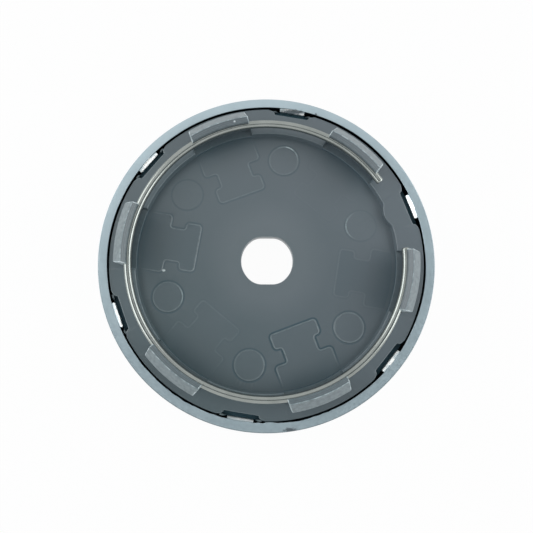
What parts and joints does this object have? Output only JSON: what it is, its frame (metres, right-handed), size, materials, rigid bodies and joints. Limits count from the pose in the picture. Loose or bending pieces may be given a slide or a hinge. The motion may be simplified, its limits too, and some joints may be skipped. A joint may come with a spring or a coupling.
{
  "type": "wheel centre cap",
  "caption": "Round snap-in centre cap for a car wheel: dished plastic body with barbed clips, a spring wire that spreads them and a plated trim ring, clip side up.",
  "frame": {"origin": "on the axis of the cap, in the plane of the bezel's crown that the cap lies on", "axes": "+Z along the axis, from the front face towards the clips; +Y is up in the picture"},
  "size_m": [0.065, 0.065, 0.0105],
  "materials": {
    "grey_plastic": "satin moulded grey",
    "spring_steel": "bright drawn wire",
    "silver_plating": "satin silver plating on plastic"
  },
  "bodies": {
    "root": {"cap_body": "grey_plastic", "spring_wire": "spring_steel", "trim_ring": "silver_plating"}
  },
  "joints": []
}
